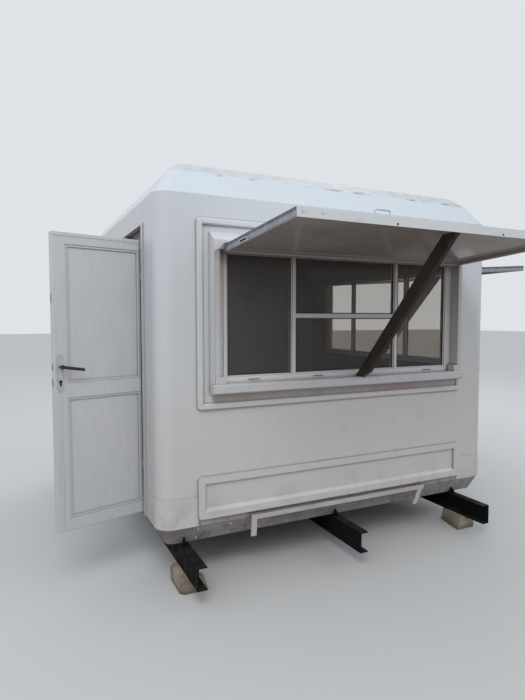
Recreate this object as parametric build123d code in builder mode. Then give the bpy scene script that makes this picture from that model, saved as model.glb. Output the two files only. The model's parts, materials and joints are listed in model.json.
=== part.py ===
from build123d import *
import math
import os

# Street kiosk: a moulded white shell on a steel base, carried by three skids on stone blocks.
# One end has a narrow door, and two sides have a serving window under a propped flap.
# Millimetres, +Z up, ground at Z = 0. The front is the -Y side, the door is on the -X side.

# Ground supports
block_h = 100
block_w = 230
block_d = 250
block_soft = 14
block_top_soft = 6
block_ahead = 140         # front face of a block ahead of the front of the shell
block_beside = 50         # side of a block beyond the outer side of its skid
skid_h = 140
skid_w = 60
skid_web = 8
skid_reach = 315          # how far each skid runs out past the shell, front and back
skid_left_in = 170        # middle of an outer skid to the side of the shell
skid_right_in = 310

# Steel base band under the shell, folded from sheet, its outside leaning in towards the bottom
band_h = 115
band_lean = 60
band_w = 115
band_t = 6
band_low_r = 60
deck_t = 30
bearer_w = 50
bearer_end = 12           # end of a bearer to the inside of the band
bearer_places = (-880, -440, 0, 440, 880)
kerb_h = 35               # upright edge of the base in front of the foot of the walls
kerb_t = 8
kerb_back = 3

# Shell
body_long = 2760          # along X
body_deep = 2760          # along Y
wall_t = 45
wall_h = 2076
corner_r = 100
skirt_h = 189             # the foot of the shell is a little thicker
skirt_out = 3

# Roof: a steep bevel, a shallow bevel and a nearly flat crown
bevel_low_h = 161
bevel_low_in = 121
bevel_top_h = 66
bevel_top_in = 75
crown_h = 22
crown_in = 420
roof_t = 40
roof_low_r = 45
roof_top_r = 60
roof_inner_drop = 24      # inside of the crease below its outside
roof_inner_less = 20      # radius of the inside corners below the outside one

# Serving windows
opening_w = 2000
opening_h = 840
opening_low = 900         # above the bottom of the shell
sur_t = 30
sur_out = 65
sur_cut_w = 70            # upper corners cut off the window box, under the shoulders of the hood
sur_cut_h = 45
sill_out = 80
sill_t = 60
sill_over = 14
sill_soft = 8
jamb_foot_w = 66
jamb_foot_h = 49
jamb_foot_out = 3
sash_t = 40
sash_back = 5
stile_w = 80
stile_outer = 52
stile_back = 7
rail_low = 46
rail_top = 20
mullion_w = 38
mullion_off = 437
divider_t = 30
divider_up = 433          # middle of the divider above the bottom of the sash
glass_t = 5
glass_bead = 10
glass_bead_back = 7

# Moulded hood of the shell round the sides and the top of a window box
hood_out = 60
hood_side_low = 16        # outside of the window box to the edge of the hood, at the wall
hood_side_high = 4
hood_top_low = 85
hood_top_high = 29

# Raised mouldings on the walls
bead_side_gap = 77.5      # window box to the outer edge of the moulding
bead_below_gap = 102
bead_above_gap = 162
bead_shift = -22          # the mouldings stand a little towards the left
bead_step = 39
bead_out = 22
bead_r = 22
bead_soft = 8
ledge_side = 275          # end of the lower moulding to the end of the wall
ledge_h = 270
ledge_low = 40
ledge_step = 44
ledge_out = 16
ledge_slope = 23
door_bead_gap = 120       # moulding beside the doorway to the edges of its wall

# Flaps and their props
flap_deep = 895
flap_t = 5
flap_narrow = 32          # each end of a flap to the end of the window opening
lip_h = 49
lip_t = 5
rib_w = 30
rib_h = 16
flap_gap = 10
flap_rise = 3.8           # degrees above level
flap_hinge_r = 8
flap_hinge_len = 90
flap_hinge_off = 720
hinge_leaf = 40
hinge_leaf_low = 24
hinge_leaf_t = 3
prop_w = 80
prop_t = 30
prop_side = 86            # props stand this far to the right of the middle
prop_seat = 77            # length of the cut that stands on the sill
prop_toe = 40             # height of the bevel in front of that cut
prop_heel = 1             # heel of a prop to the face of the wall
prop_top_in = 12          # top end to the outer edge of the flap
seat_gap = 0.3
pull_off = -458
pull_w = 105
pull_h = 36
pull_r = 4
pull_bend = 12
pull_in = 22

# Door
door_corner = 351         # hinge line to the front of the shell
leaf_w = 569
leaf_t = 40
leaf_low = 18
threshold_h = 10
edge_gap = 6
lock_gap = 8
head_gap = 6
head_room = 147           # top of the door frame to the top of the wall
jamb_w = 40
head_rail_h = 100
head_back = 42
cover_out = 11            # cover strips on the jambs
frame_deep = 60
stop_w = 15
stop_clear = 5
door_open = 105           # degrees from shut, as it stands
pivot_out = 6.5
stile_lock_w = 81
stile_hinge_w = 10
leaf_rail_low = 77
leaf_rail_top = 68
mid_rail_h = 89
mid_rail_up = 861.5
leaf_bead_w = 14
leaf_bead_back = 4
leaf_soft = 3
panel_back = 10
panel_t = 20
knuckle_r = 5.5
knuckle_h = 45
pin_r = 2.5
pin_clear = 0.1
knuckle_gap = 0.5
knuckle_room = 1.5        # knuckle to the cover strip
hinge_plate_w = 30
hinge_plate_t = 1.6
hinge_ups = (260, 1500)
lever_up = 1008
lever_in = 38             # spindle to the free edge of the leaf
lever_len = 136
lever_sag = 9.5           # degrees below level at rest
lever_bar_w = 18
lever_bar_t = 12
lever_bar_soft = 3.5
lever_stand = 46
spindle_r = 7
spindle_clear = 1
rose_r = 13
plate_w = 36
plate_h = 222
plate_t = 3
plate_drop = 39
keyhole_drop = 93
keyhole_r = 6

# Rail on the front of the base
rail_left = 774
rail_right = 695
rail_w = 46
rail_t = 5
rail_up = 26
rail_face_h = 31
rail_leg_w = 40
rail_leg_left_lean = 7
rail_leg_right_lean = 70

# Heights above the ground, worked out from the sizes above
skid_low = block_h
band_low = skid_low + skid_h
shell_low = band_low + band_h
shell_top = shell_low + wall_h
opening_z = shell_low + opening_low
opening_mid = opening_z + opening_h / 2
frame_top = shell_top - head_room
leaf_z = shell_low + leaf_low
leaf_top = frame_top - head_rail_h - head_gap
flap_z = opening_z + opening_h + sur_t
box_half = opening_w / 2 + sur_t

# Places of the skids between the sides of the shell
skid_apart = (body_long - skid_left_in - skid_right_in) / 2
skid_shift = (skid_left_in - skid_right_in) / 2

# Sizes of the mouldings, worked out from the window that they go round
bead_w = 2 * (box_half + bead_side_gap)
bead_low = opening_low - sill_t - bead_below_gap
bead_h = opening_low + opening_h + sur_t + bead_above_gap - bead_low

# The origin is under the middle of everything, so the shell stands off it a little
rise = math.radians(flap_rise)
swing = math.radians(door_open)
flap_reach = sur_out + flap_gap + flap_deep * math.cos(rise) + lip_h * math.sin(rise)
door_reach = pivot_out + (edge_gap + leaf_w) * math.sin(swing) - (pivot_out + leaf_t) * math.cos(swing)
mid_x = (door_reach - flap_reach) / 2
mid_y = (flap_reach - skid_reach) / 2

FRONT, RIGHT, REAR, LEFT = 0, 90, 180, 270
SIDE_NAMES = {FRONT: "front", RIGHT: "right", REAR: "rear", LEFT: "left"}


def level(height):
    """A flat plane over the middle of the shell."""
    return Plane(origin=(mid_x, mid_y, height))


def side_plane(turn, out=0.0):
    """The face of a wall: X runs to the right as seen from outside, Y runs up."""
    angle = math.radians(turn)
    half = (body_long if turn in (RIGHT, LEFT) else body_deep) / 2 + out
    origin = (mid_x + half * math.sin(angle), mid_y - half * math.cos(angle), 0)
    return Plane(origin=origin, x_dir=(math.cos(angle), math.sin(angle), 0),
                 z_dir=(math.sin(angle), -math.cos(angle), 0))


def cross_plane(turn, along=0.0):
    """A cut across a wall: X runs outwards from its face, Y runs up."""
    face = side_plane(turn)
    return Plane(origin=face.origin + face.x_dir * along, x_dir=face.z_dir, z_dir=-face.x_dir)


def save(piece, name):
    """Label one finished piece and write its file."""
    piece.part.label = name
    os.makedirs("parts", exist_ok=True)
    export_step(piece.part, f"parts/{name}.step")


# Stone blocks under the outer skids
block_x = skid_apart + skid_w / 2 + block_beside - block_w / 2
block_y = body_deep / 2 + block_ahead - block_d / 2
for side, sx in (("left", -1), ("right", 1)):
    for end, sy in (("front", -1), ("rear", 1)):
        with BuildPart() as block:
            with BuildSketch(level(0)):
                with Locations((skid_shift + sx * block_x, sy * block_y)):
                    Rectangle(block_w, block_d)
            extrude(amount=block_h)
            chamfer(block.edges().filter_by(Axis.Z), length=block_soft)
            chamfer(block.faces().sort_by(Axis.Z)[-1].edges(), length=block_top_soft)
        save(block, f"block_{end}_{side}")

# Skids: steel channels lying front to back, open towards the middle
skid_len = body_deep + 2 * skid_reach
for name, side, opens in (("left", -1, 1), ("middle", 0, 1), ("right", 1, -1)):
    skid_x = mid_x + skid_shift + side * skid_apart
    with BuildPart() as skid:
        with BuildSketch(Plane(origin=(skid_x, mid_y - skid_len / 2, skid_low + skid_h / 2),
                               x_dir=(1, 0, 0), z_dir=(0, -1, 0))):
            Rectangle(skid_w, skid_h)
            with Locations((opens * skid_web, 0)):
                Rectangle(skid_w, skid_h - 2 * skid_web, mode=Mode.SUBTRACT)
        extrude(amount=-skid_len)
    save(skid, f"skid_{name}")

# Base band in four folded sills, cut from one ring that leans in and has rounded corners
sill_x = body_long / 2 - band_w / 2
sill_y = body_deep / 2 - band_w / 2
sills = {
    FRONT: (0, -sill_y, body_long, band_w),
    REAR: (0, sill_y, body_long, band_w),
    LEFT: (-sill_x, 0, band_w, body_deep - 2 * band_w),
    RIGHT: (sill_x, 0, band_w, body_deep - 2 * band_w),
}
for turn, (x, y, long_x, long_y) in sills.items():
    half = (body_deep if turn in (LEFT, RIGHT) else body_long) / 2 - ledge_side
    with BuildPart() as base_sill:
        for skin, mode in ((0, Mode.ADD), (band_t, Mode.SUBTRACT)):
            with BuildSketch(level(band_low + skin)):
                RectangleRounded(body_long - 2 * (band_lean + skin), body_deep - 2 * (band_lean + skin),
                                 band_low_r - skin)
            with BuildSketch(level(shell_low - skin)):
                RectangleRounded(body_long - 2 * skin, body_deep - 2 * skin, corner_r - skin)
            loft(ruled=True, mode=mode)
        with BuildSketch(level(band_low)):
            with Locations((x, y)):
                Rectangle(long_x, long_y)
        extrude(amount=band_h, mode=Mode.INTERSECT)
        if turn != LEFT:
            with BuildSketch(side_plane(turn, -kerb_back)):
                with Locations((bead_shift, shell_low + kerb_h / 2)):
                    Rectangle(2 * half, kerb_h)
            extrude(amount=-kerb_t)
    save(base_sill, f"base_sill_{SIDE_NAMES[turn]}")

with BuildPart() as floor_deck:
    with BuildSketch(level(shell_low)):
        Rectangle(body_long - 2 * band_w, body_deep - 2 * band_w)
    extrude(amount=-deck_t)
save(floor_deck, "floor_deck")

# Bearers under the deck, from side to side, standing on the lower flange of the band
bearer_half = body_long / 2 - band_lean - band_t - bearer_end
with BuildPart() as floor_bearers:
    with BuildSketch(level(band_low + band_t)):
        for y in bearer_places:
            with Locations((0, y)):
                Rectangle(2 * bearer_half, bearer_w)
    extrude(amount=band_h - band_t - deck_t)
save(floor_bearers, "floor_bearers")

# Rounded corner posts of the shell
for side, sx in (("left", -1), ("right", 1)):
    for end, sy in (("front", -1), ("rear", 1)):
        with BuildPart() as corner:
            with BuildSketch(level(shell_low)):
                RectangleRounded(body_long, body_deep, corner_r)
                RectangleRounded(body_long - 2 * wall_t, body_deep - 2 * wall_t, corner_r - wall_t,
                                 mode=Mode.SUBTRACT)
                with Locations((sx * (body_long - corner_r) / 2, sy * (body_deep - corner_r) / 2)):
                    Rectangle(corner_r, corner_r, mode=Mode.INTERSECT)
            extrude(amount=wall_h)
            with BuildSketch(level(shell_low)):
                RectangleRounded(body_long + 2 * skirt_out, body_deep + 2 * skirt_out,
                                 corner_r + skirt_out)
                RectangleRounded(body_long - 2 * wall_t, body_deep - 2 * wall_t, corner_r - wall_t,
                                 mode=Mode.SUBTRACT)
                with Locations((sx * (body_long + skirt_out - corner_r) / 2,
                                sy * (body_deep + skirt_out - corner_r) / 2)):
                    Rectangle(corner_r + skirt_out, corner_r + skirt_out, mode=Mode.INTERSECT)
            extrude(amount=skirt_h)
        save(corner, f"corner_{end}_{side}")


def ring_outline(turn, middle, width, height, step):
    """The outline of a raised moulding round a rectangle, on the face of a wall."""
    with BuildSketch(side_plane(turn)) as ring:
        with Locations(middle):
            RectangleRounded(width, height, bead_r)
            Rectangle(width - 2 * step, height - 2 * step, mode=Mode.SUBTRACT)
    return ring.sketch


def box_outline(turn):
    """The outline of a window box above its sill, with its upper corners cut off."""
    low = flap_z - sur_cut_h
    with BuildSketch(side_plane(turn)) as outline:
        with BuildLine():
            Polyline((-box_half, opening_z), (box_half, opening_z), (box_half, low),
                     (box_half - sur_cut_w, flap_z), (sur_cut_w - box_half, flap_z), (-box_half, low),
                     close=True)
        make_face()
    return outline.sketch


def hood(turn):
    """The moulded collar of the shell round the sides and the top of a window box."""
    top = flap_z - opening_z
    with BuildPart() as collar:
        for out, side, above in ((0, hood_side_low, hood_top_low),
                                 (hood_out, hood_side_high, hood_top_high)):
            with BuildSketch(side_plane(turn, out)):
                with Locations((0, opening_z + (top + above) / 2)):
                    Rectangle(2 * (box_half + side), top + above)
        loft(ruled=True)
        extrude(box_outline(turn), amount=hood_out, mode=Mode.SUBTRACT)
    return collar.part


def wall_panel(turn, start, end, low, high, opening=False, upper=None, lower=None):
    """One flat wall between two places along a side, with its mouldings and its window hole."""
    with BuildPart() as wall:
        with BuildSketch(side_plane(turn)):
            with Locations(((start + end) / 2, (low + high) / 2)):
                Rectangle(end - start, high - low)
            if opening:
                with Locations((0, opening_mid)):
                    Rectangle(opening_w, opening_h, mode=Mode.SUBTRACT)
        extrude(amount=-wall_t)
        if upper:
            middle = (upper[0], shell_low + bead_low + bead_h / 2)
            extrude(ring_outline(turn, middle, upper[1], bead_h, bead_step), amount=bead_out)
            outward = Axis(side_plane(turn).origin, side_plane(turn).z_dir)
            chamfer(wall.faces().sort_by(outward)[-1].edges(), length=bead_soft)
        if lower:
            middle = (lower[0], shell_low + ledge_low + ledge_h / 2)
            extrude(ring_outline(turn, middle, lower[1], ledge_h, ledge_step), amount=ledge_out)
            slope_z = shell_low + ledge_low + ledge_step
            half = lower[1] / 2 - ledge_step
            with BuildSketch(cross_plane(turn, lower[0] - half)):
                with BuildLine():
                    Polyline((0, slope_z), (ledge_out, slope_z), (0, slope_z + ledge_slope), close=True)
                make_face()
            extrude(amount=-2 * half)
        if low == shell_low:
            ends = [(start, end)]
            if lower:
                ends = [(start, lower[0] - lower[1] / 2), (lower[0] + lower[1] / 2, end)]
            with BuildSketch(side_plane(turn)):
                for near, far in ends:
                    with Locations(((near + far) / 2, shell_low + skirt_h / 2)):
                        Rectangle(far - near, skirt_h)
            extrude(amount=skirt_out)
        if lower and turn != LEFT:
            with BuildSketch(side_plane(turn)):
                with Locations((lower[0], shell_low + kerb_h / 2)):
                    Rectangle(lower[1], kerb_h)
            extrude(amount=-(kerb_back + kerb_t), mode=Mode.SUBTRACT)
        if opening:
            add(hood(turn))
    return wall


long_half = body_long / 2 - corner_r
deep_half = body_deep / 2 - corner_r
for turn, half, full, glazed in ((FRONT, long_half, body_long, True), (RIGHT, deep_half, body_deep, True),
                                 (REAR, long_half, body_long, False)):
    panel = wall_panel(turn, -half, half, shell_low, shell_top, opening=glazed,
                       upper=(bead_shift, bead_w), lower=(bead_shift, full - 2 * ledge_side))
    save(panel, f"{SIDE_NAMES[turn]}_wall")

# Left wall round the doorway; along this side X runs from the back to the front
hinge_u = body_deep / 2 - door_corner
opening_span = edge_gap + leaf_w + lock_gap
lock_u = hinge_u - opening_span
gap_front = hinge_u + jamb_w
gap_back = lock_u - jamb_w
save(wall_panel(LEFT, gap_front, deep_half, shell_low, shell_top), "left_wall_front")
save(wall_panel(LEFT, gap_back, gap_front, frame_top, shell_top), "left_wall_head")
plain_mid = (gap_back - deep_half) / 2
plain_w = gap_back + deep_half - 2 * door_bead_gap
save(wall_panel(LEFT, -deep_half, gap_back, shell_low, shell_top, upper=(plain_mid, plain_w),
                lower=(plain_mid, plain_w)), "left_wall_rear")

# Roof: two bevels and a low crown, hollow underneath
crease_z = shell_top + bevel_low_h
edge_z = crease_z + bevel_top_h
crown_z = edge_z + crown_h
roof_rings = (
    (shell_top, 0, corner_r),
    (crease_z, bevel_low_in, roof_low_r),
    (edge_z, bevel_low_in + bevel_top_in, roof_top_r),
    (crown_z, bevel_low_in + bevel_top_in + crown_in, roof_top_r),
)
with BuildPart() as roof_shell:
    for (z0, in0, r0), (z1, in1, r1) in zip(roof_rings, roof_rings[1:]):
        with BuildSketch(level(z0)):
            RectangleRounded(body_long - 2 * in0, body_deep - 2 * in0, r0)
        with BuildSketch(level(z1)):
            RectangleRounded(body_long - 2 * in1, body_deep - 2 * in1, r1)
        loft(ruled=True)
    inner_rings = (
        (shell_top, wall_t, corner_r - roof_inner_less),
        (crease_z - roof_inner_drop, bevel_low_in + wall_t, roof_low_r - roof_inner_less),
        (edge_z - roof_t, bevel_low_in + bevel_top_in + wall_t, roof_top_r - roof_inner_less),
    )
    for (z0, in0, r0), (z1, in1, r1) in zip(inner_rings, inner_rings[1:]):
        with BuildSketch(level(z0)):
            RectangleRounded(body_long - 2 * in0, body_deep - 2 * in0, r0)
        with BuildSketch(level(z1)):
            RectangleRounded(body_long - 2 * in1, body_deep - 2 * in1, r1)
        loft(ruled=True, mode=Mode.SUBTRACT)
save(roof_shell, "roof_shell")


# Serving windows
def surround(turn):
    """A shallow steel box round the window, with a sill along its bottom."""
    with BuildPart() as box:
        extrude(box_outline(turn), amount=sur_out)
        with BuildSketch(side_plane(turn)):
            with Locations((0, opening_mid)):
                Rectangle(opening_w, opening_h)
        extrude(amount=sur_out, mode=Mode.SUBTRACT)
        with BuildSketch(side_plane(turn)):
            for side in (-1, 1):
                with Locations((side * (box_half - jamb_foot_w / 2), opening_z + jamb_foot_h / 2)):
                    Rectangle(jamb_foot_w, jamb_foot_h)
        extrude(amount=sur_out + jamb_foot_out)
        half = box_half + sill_over
        sill_z = opening_z - sill_t
        with BuildSketch(cross_plane(turn, -half)):
            with BuildLine():
                Polyline((0, sill_z), (sill_out - sill_soft, sill_z), (sill_out, sill_z + sill_soft),
                         (sill_out, opening_z - sill_soft), (sill_out - sill_soft, opening_z),
                         (0, opening_z), close=True)
            make_face()
        extrude(amount=-2 * half)
    return box


def sash(turn):
    """The glazing frame: three bays, the middle one divided across."""
    clear_h = opening_h - rail_low - rail_top
    clear_mid = opening_z + rail_low + clear_h / 2
    side_w = opening_w / 2 - stile_w - mullion_off - mullion_w / 2
    side_mid = mullion_off + mullion_w / 2 + side_w / 2
    mid_w = 2 * mullion_off - mullion_w
    split_z = opening_z + divider_up
    panes = (
        (-side_mid, clear_mid, side_w, clear_h),
        (side_mid, clear_mid, side_w, clear_h),
        (0, (opening_z + rail_low + split_z - divider_t / 2) / 2, mid_w,
         split_z - divider_t / 2 - opening_z - rail_low),
        (0, (opening_z + opening_h - rail_top + split_z + divider_t / 2) / 2, mid_w,
         opening_z + opening_h - rail_top - split_z - divider_t / 2),
    )
    with BuildPart() as frame:
        with BuildSketch(side_plane(turn, -sash_back)):
            with Locations((0, opening_mid)):
                Rectangle(opening_w, opening_h)
            for u, v, w, h in panes:
                with Locations((u, v)):
                    Rectangle(w, h, mode=Mode.SUBTRACT)
        extrude(amount=-sash_t)
        with BuildSketch(side_plane(turn, -sash_back)):
            for u, v, w, h in panes:
                with Locations((u, v)):
                    Rectangle(w + 2 * glass_bead, h + 2 * glass_bead)
        extrude(amount=-glass_bead_back, mode=Mode.SUBTRACT)
        with BuildSketch(side_plane(turn, -sash_back)):
            for side in (-1, 1):
                with Locations((side * (opening_w - stile_outer) / 2, opening_mid)):
                    Rectangle(stile_outer, opening_h)
        extrude(amount=-stile_back, mode=Mode.SUBTRACT)
    with BuildPart() as glass:
        with BuildSketch(side_plane(turn, -sash_back - sash_t / 2)):
            for u, v, w, h in panes:
                with Locations((u, v)):
                    Rectangle(w, h)
        extrude(amount=glass_t)
    return frame, glass


def flap_plane(turn):
    """The top of a flap: X to the right along the wall, Y from its hinge edge to its lip."""
    face = side_plane(turn, sur_out + flap_gap)
    reach = face.z_dir * math.cos(rise) + Vector(0, 0, math.sin(rise))
    up = Vector(0, 0, math.cos(rise)) - face.z_dir * math.sin(rise)
    return Plane(origin=face.origin + Vector(0, 0, flap_z), x_dir=-face.x_dir, z_dir=up)


def flap(turn):
    """A sheet with its four edges turned down and two stiffeners under it."""
    width = opening_w - 2 * flap_narrow
    top = flap_plane(turn)
    with BuildPart() as tray:
        with BuildSketch(top):
            with Locations((0, flap_deep / 2)):
                Rectangle(width, flap_deep)
        extrude(amount=-flap_t)
        with BuildSketch(top):
            for u in (-width / 6, width / 6):
                with Locations((u, flap_deep / 2)):
                    Rectangle(rib_w, flap_deep - 2 * lip_t)
        extrude(amount=-flap_t - rib_h)
        with BuildSketch(top):
            with Locations((0, flap_deep / 2)):
                Rectangle(width, flap_deep)
                Rectangle(width - 2 * lip_t, flap_deep - 2 * lip_t, mode=Mode.SUBTRACT)
        extrude(amount=-lip_h)
    return tray


def flap_hinges(turn):
    """Three butt hinges between the top of the window box and the flap."""
    top = flap_plane(turn)
    face = side_plane(turn, sur_out + flap_gap / 2)
    with BuildPart() as hinges:
        for u in (-flap_hinge_off, 0, flap_hinge_off):
            start = face.origin + face.x_dir * (u - flap_hinge_len / 2)
            start = start + Vector(0, 0, flap_z + flap_hinge_r)
            with BuildSketch(Plane(origin=start, x_dir=face.z_dir, z_dir=face.x_dir)):
                Circle(flap_hinge_r)
            extrude(amount=flap_hinge_len)
            with BuildSketch(side_plane(turn, sur_out)):
                with Locations((u, flap_z + (flap_hinge_r - hinge_leaf_low) / 2)):
                    Rectangle(flap_hinge_len, hinge_leaf_low + flap_hinge_r)
            extrude(amount=hinge_leaf_t)
            with BuildSketch(top):
                with Locations((-u, hinge_leaf / 2 - flap_gap / 2)):
                    Rectangle(flap_hinge_len, hinge_leaf)
            extrude(amount=hinge_leaf_t)
    return hinges


def flap_pull(turn):
    """A bent wire pull standing on the flap near its lip."""
    top = flap_plane(turn)
    line = Plane(origin=top.origin + top.y_dir * (flap_deep - pull_in), x_dir=top.x_dir,
                 z_dir=-top.y_dir)
    half = pull_w / 2 - pull_r
    with BuildPart() as pull:
        with BuildLine(line):
            FilletPolyline((-pull_off - half, 0), (-pull_off - half, pull_h - pull_r),
                           (-pull_off + half, pull_h - pull_r), (-pull_off + half, 0),
                           radius=pull_bend)
        with BuildSketch(Plane(origin=line.from_local_coords((-pull_off - half, 0, 0)),
                               z_dir=top.z_dir)):
            Circle(pull_r)
        sweep()
    return pull


def prop(turn):
    """A board from the sill up to the underside of the flap, cut to seat at both ends."""
    foot = opening_z + seat_gap
    top_out = sur_out + flap_gap + flap_deep - prop_top_in
    top_z = flap_z - (flap_t + seat_gap) / math.cos(rise)
    top_z = top_z + (top_out - sur_out - flap_gap) * math.tan(rise)
    slope = math.atan2(top_z - foot, top_out)
    foot_deep = prop_w / math.sin(slope)
    toe_out = prop_heel + foot_deep + prop_toe * (top_out - prop_heel - foot_deep) / (top_z - foot)
    back_out = top_out - foot_deep
    back_z = top_z - foot_deep * math.tan(rise)
    with BuildPart() as board:
        with BuildSketch(cross_plane(turn, prop_side - prop_t / 2)):
            with BuildLine():
                Polyline((prop_heel, foot), (prop_heel + prop_seat, foot), (toe_out, foot + prop_toe),
                         (top_out, top_z), (back_out, back_z), close=True)
            make_face()
        extrude(amount=-prop_t)
    return board


for turn in (FRONT, RIGHT):
    side = SIDE_NAMES[turn]
    save(surround(turn), f"{side}_surround")
    frame, glass = sash(turn)
    save(frame, f"{side}_sash")
    save(glass, f"{side}_glass")
    save(flap(turn), f"{side}_flap")
    save(flap_hinges(turn), f"{side}_flap_hinges")
    save(flap_pull(turn), f"{side}_flap_pull")
    save(prop(turn), f"{side}_prop")

# Door frame in the left wall: two jambs and a set-back head, with a stop behind the leaf
frame_mid = (hinge_u + lock_u) / 2
stop_in = leaf_t + stop_clear
with BuildPart() as door_frame:
    with BuildSketch(side_plane(LEFT)):
        for u in (hinge_u + jamb_w / 2, lock_u - jamb_w / 2):
            with Locations((u, (shell_low + frame_top) / 2)):
                Rectangle(jamb_w, frame_top - shell_low)
        with Locations((frame_mid, shell_low + threshold_h / 2)):
            Rectangle(opening_span, threshold_h)
    extrude(amount=-frame_deep)
    cover_w = jamb_w - knuckle_r - knuckle_room
    with BuildSketch(side_plane(LEFT)):
        for u in (hinge_u + jamb_w - cover_w / 2, lock_u - jamb_w + cover_w / 2):
            with Locations((u, (shell_low + frame_top) / 2)):
                Rectangle(cover_w, frame_top - shell_low)
    extrude(amount=cover_out)
    with BuildSketch(side_plane(LEFT, -head_back)):
        with Locations((frame_mid, frame_top - head_rail_h / 2)):
            Rectangle(opening_span, head_rail_h)
    extrude(amount=-(frame_deep - head_back))
    with BuildSketch(side_plane(LEFT, -stop_in)):
        with Locations((frame_mid, (shell_low + frame_top) / 2)):
            Rectangle(opening_span, frame_top - shell_low)
        with Locations((frame_mid, (shell_low + frame_top - head_rail_h - stop_w) / 2)):
            Rectangle(opening_span - 2 * stop_w, frame_top - shell_low - head_rail_h - stop_w,
                      mode=Mode.SUBTRACT)
    extrude(amount=-(frame_deep - stop_in))
save(door_frame, "door_frame")

# Door: its plane turns with it, X runs from the free edge to the hinge seen from outside
pivot = side_plane(LEFT, pivot_out).origin + side_plane(LEFT).x_dir * hinge_u
leaf_out = Vector(-math.cos(swing), -math.sin(swing), 0)
leaf_run = Vector(math.sin(swing), -math.cos(swing), 0)


def leaf_plane(out=0.0):
    """The outside face of the door leaf, or a plane in front of it."""
    return Plane(origin=pivot + leaf_out * (out - pivot_out), x_dir=leaf_run, z_dir=leaf_out)


free_u = -edge_gap - leaf_w
leaf_mid = -edge_gap - leaf_w / 2
panel_left = free_u + stile_lock_w
panel_right = -edge_gap - stile_hinge_w
mid_z = leaf_z + mid_rail_up
panel_spans = (
    (leaf_z + leaf_rail_low, mid_z - mid_rail_h / 2),
    (mid_z + mid_rail_h / 2, leaf_top - leaf_rail_top),
)
lever_u = free_u + lever_in
lever_z = leaf_z + lever_up
panel_mid = (panel_left + panel_right) / 2
panel_w = panel_right - panel_left
with BuildPart() as door_leaf:
    with BuildSketch(leaf_plane()):
        with Locations((leaf_mid, (leaf_z + leaf_top) / 2)):
            Rectangle(leaf_w, leaf_top - leaf_z)
    extrude(amount=-leaf_t)
    chamfer(door_leaf.edges(), length=leaf_soft)
    with BuildSketch(leaf_plane()):
        for low, high in panel_spans:
            with Locations((panel_mid, (low + high) / 2)):
                Rectangle(panel_w, high - low)
        with Locations((lever_u, lever_z)):
            Circle(spindle_r + spindle_clear)
    extrude(amount=-leaf_t, mode=Mode.SUBTRACT)
    with BuildSketch(leaf_plane(-leaf_bead_back)):
        for low, high in panel_spans:
            with Locations((panel_mid, (low + high) / 2)):
                Rectangle(panel_w, high - low)
                Rectangle(panel_w - 2 * leaf_bead_w, high - low - 2 * leaf_bead_w, mode=Mode.SUBTRACT)
    extrude(amount=-(leaf_t - 2 * leaf_bead_back))
save(door_leaf, "door_leaf")

with BuildPart() as door_panels:
    with BuildSketch(leaf_plane(-panel_back)):
        for low, high in panel_spans:
            with Locations((panel_mid, (low + high) / 2)):
                Rectangle(panel_w - 2 * leaf_bead_w, high - low - 2 * leaf_bead_w)
    extrude(amount=-panel_t)
save(door_panels, "door_panels")

with BuildPart() as door_lock_plates:
    for out in (0, -leaf_t - plate_t):
        with BuildSketch(leaf_plane(out)):
            with Locations((lever_u, lever_z - plate_drop)):
                SlotOverall(plate_h, plate_w, rotation=90)
            with Locations((lever_u, lever_z)):
                Circle(spindle_r + spindle_clear, mode=Mode.SUBTRACT)
            with Locations((lever_u, lever_z - keyhole_drop)):
                Circle(keyhole_r, mode=Mode.SUBTRACT)
        extrude(amount=plate_t)
save(door_lock_plates, "door_lock_plates")

# Lever handles on both faces, on one spindle
with BuildPart() as door_lever:
    with BuildSketch(leaf_plane(plate_t + lever_stand)):
        with Locations((lever_u, lever_z)):
            Circle(spindle_r)
    extrude(amount=-(leaf_t + 2 * plate_t + 2 * lever_stand))
    sag = math.radians(lever_sag)
    bar_half = lever_len / 2
    for face_out in (plate_t + lever_stand - lever_bar_t, -leaf_t - plate_t - lever_stand):
        with BuildSketch(leaf_plane(face_out)):
            with Locations((lever_u, lever_z)):
                Circle(rose_r)
        extrude(amount=lever_bar_t)
        with BuildPart(mode=Mode.PRIVATE) as lever_bar:
            with BuildSketch(leaf_plane(face_out)):
                with Locations((lever_u + bar_half * math.cos(sag), lever_z - bar_half * math.sin(sag))):
                    SlotCenterToCenter(lever_len - lever_bar_w, lever_bar_w, rotation=-lever_sag)
            extrude(amount=lever_bar_t)
            chamfer(lever_bar.faces().sort_by(Axis(pivot, leaf_out))[-1].edges(), length=lever_bar_soft)
            chamfer(lever_bar.faces().sort_by(Axis(pivot, leaf_out))[0].edges(), length=lever_bar_soft)
        add(lever_bar.part)
save(door_lever, "door_lever")

# Hinges: the lower knuckle and its pin stay on the frame, the upper knuckle turns with the leaf
with BuildPart() as door_hinge_pins:
    for up in hinge_ups:
        base = Plane(origin=pivot + Vector(0, 0, leaf_z + up))
        with BuildSketch(base):
            Circle(knuckle_r)
        extrude(amount=knuckle_h)
        with BuildSketch(base):
            Circle(pin_r)
        extrude(amount=2 * knuckle_h)
        with BuildSketch(side_plane(LEFT, pivot_out)):
            with Locations((hinge_u - hinge_plate_t / 2, leaf_z + up + knuckle_h / 2)):
                Rectangle(hinge_plate_t, knuckle_h)
        extrude(amount=-(pivot_out + hinge_plate_w))
save(door_hinge_pins, "door_hinge_pins")

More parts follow.
